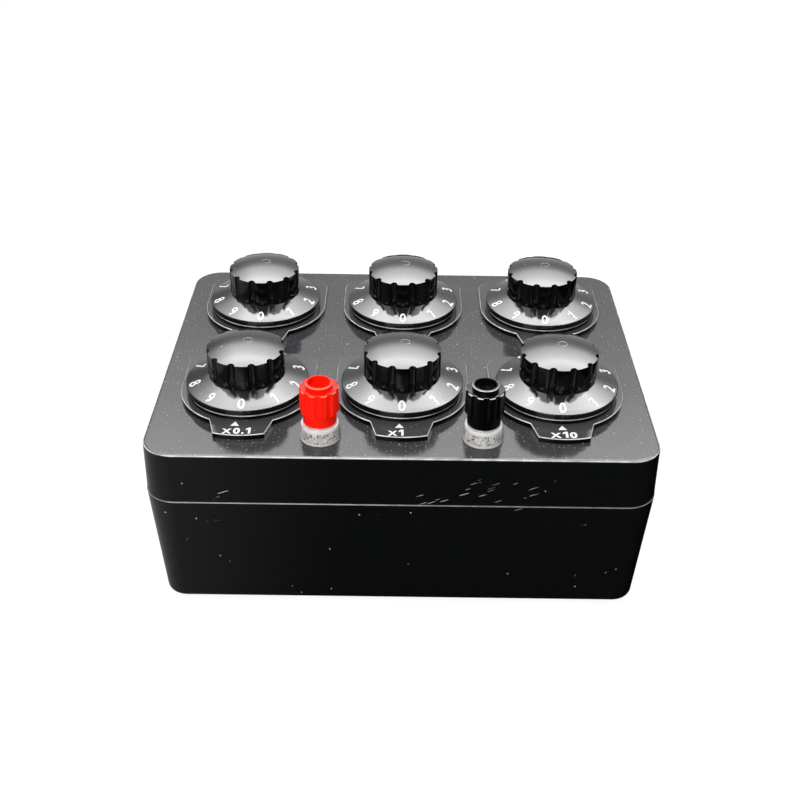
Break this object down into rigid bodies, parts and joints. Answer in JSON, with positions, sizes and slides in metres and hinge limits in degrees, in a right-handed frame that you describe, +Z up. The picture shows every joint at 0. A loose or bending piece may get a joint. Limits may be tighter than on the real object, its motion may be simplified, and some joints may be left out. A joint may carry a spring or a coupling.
{
  "type": "resistance decade box",
  "caption": "Low moulded bench box with rows of skirted switch knobs numbered 0 to 9, two screw binding posts with plug sockets, and a drafted tray on rubber feet.",
  "frame": {"origin": "middle of the base, on the surface that the rubber feet stand on", "axes": "+X to the right as seen from the terminals' side, +Y to the back, +Z up out of the panel"},
  "size_m": [0.2012, 0.1566, 0.1],
  "materials": {
    "case_plastic": "polished moulding",
    "plate_plastic": "polished moulding",
    "knob_plastic": "polished moulding",
    "red_plastic": "satin moulding",
    "black_cap_plastic": "satin moulding",
    "clear_plastic": "clear moulding",
    "nickel_plate": "nickel plated",
    "zinc_steel": "zinc plated",
    "spindle_steel": "turned",
    "spring_steel": "rolled",
    "contact_brass": "stamped",
    "tinned_wire": "tinned",
    "laminate": "phenolic laminate",
    "rotor_plastic": "moulded",
    "resistor_coat": "lacquered winding",
    "foot_rubber": "moulded"
  },
  "bodies": {
    "case": {"lower_case": "case_plastic", "top_cover": "case_plastic", "case_screws": "zinc_steel", "rubber_feet": "foot_rubber", "bushing_nuts": "nickel_plate", "detent_springs": "spring_steel", "contact_clips": "contact_brass", "resistors": "resistor_coat", "link_wires": "tinned_wire", "red_stud": "nickel_plate", "black_stud": "nickel_plate", "post_collars": "clear_plastic", "solder_tags": "contact_brass", "post_nuts": "nickel_plate", "x0_1_dial_plate": "plate_plastic", "x0_1_switch_frame": "zinc_steel", "x0_1_wafer": "laminate", "x1_dial_plate": "plate_plastic", "x1_switch_frame": "zinc_steel", "x1_wafer": "laminate", "x10_dial_plate": "plate_plastic", "x10_switch_frame": "zinc_steel", "x10_wafer": "laminate", "x10000_dial_plate": "plate_plastic", "x10000_switch_frame": "zinc_steel", "x10000_wafer": "laminate", "x1000_dial_plate": "plate_plastic", "x1000_switch_frame": "zinc_steel", "x1000_wafer": "laminate", "x100_dial_plate": "plate_plastic", "x100_switch_frame": "zinc_steel", "x100_wafer": "laminate"},
    "x0_1_dial": {"x0_1_knob": "knob_plastic", "x0_1_spindle": "spindle_steel", "x0_1_rotor": "rotor_plastic", "x0_1_wiper": "contact_brass"},
    "x1_dial": {"x1_knob": "knob_plastic", "x1_spindle": "spindle_steel", "x1_rotor": "rotor_plastic", "x1_wiper": "contact_brass"},
    "x10_dial": {"x10_knob": "knob_plastic", "x10_spindle": "spindle_steel", "x10_rotor": "rotor_plastic", "x10_wiper": "contact_brass"},
    "x10000_dial": {"x10000_knob": "knob_plastic", "x10000_spindle": "spindle_steel", "x10000_rotor": "rotor_plastic", "x10000_wiper": "contact_brass"},
    "x1000_dial": {"x1000_knob": "knob_plastic", "x1000_spindle": "spindle_steel", "x1000_rotor": "rotor_plastic", "x1000_wiper": "contact_brass"},
    "x100_dial": {"x100_knob": "knob_plastic", "x100_spindle": "spindle_steel", "x100_rotor": "rotor_plastic", "x100_wiper": "contact_brass"},
    "red_washer": {"red_clamp_washer": "nickel_plate"},
    "red_screw_cap": {"red_cap": "red_plastic"},
    "black_washer": {"black_clamp_washer": "nickel_plate"},
    "black_screw_cap": {"black_cap": "black_cap_plastic"}
  },
  "joints": [
    {"name": "x0_1_turn", "type": "hinge", "parent": "case", "child": "x0_1_dial", "pos_m": [-0.0631, -0.0317, 0.09], "axis": [0, 0, 1], "continuous": true},
    {"name": "x1_turn", "type": "hinge", "parent": "case", "child": "x1_dial", "pos_m": [0, -0.0317, 0.09], "axis": [0, 0, 1], "continuous": true},
    {"name": "x10_turn", "type": "hinge", "parent": "case", "child": "x10_dial", "pos_m": [0.0631, -0.0317, 0.09], "axis": [0, 0, 1], "continuous": true},
    {"name": "x10000_turn", "type": "hinge", "parent": "case", "child": "x10000_dial", "pos_m": [-0.0631, 0.0399, 0.09], "axis": [0, 0, 1], "continuous": true},
    {"name": "x1000_turn", "type": "hinge", "parent": "case", "child": "x1000_dial", "pos_m": [0, 0.0399, 0.09], "axis": [0, 0, 1], "continuous": true},
    {"name": "x100_turn", "type": "hinge", "parent": "case", "child": "x100_dial", "pos_m": [0.0631, 0.0399, 0.09], "axis": [0, 0, 1], "continuous": true},
    {"name": "red_rise", "type": "slide", "parent": "case", "child": "red_washer", "axis": [0, 0, 1], "range_m": [0, 0.005]},
    {"name": "red_unscrew", "type": "hinge", "parent": "red_washer", "child": "red_screw_cap", "pos_m": [-0.03155, -0.0632, 0.09], "axis": [0, 0, 1], "range_deg": [0, 1800]},
    {"name": "black_rise", "type": "slide", "parent": "case", "child": "black_washer", "axis": [0, 0, 1], "range_m": [0, 0.005]},
    {"name": "black_unscrew", "type": "hinge", "parent": "black_washer", "child": "black_screw_cap", "pos_m": [0.03155, -0.0632, 0.09], "axis": [0, 0, 1], "range_deg": [0, 1800]}
  ],
  "couplings": [
    {"joint": "red_rise", "follows": "red_unscrew", "m_per_rad": 0.00015915},
    {"joint": "black_rise", "follows": "black_unscrew", "m_per_rad": 0.00015915}
  ]
}
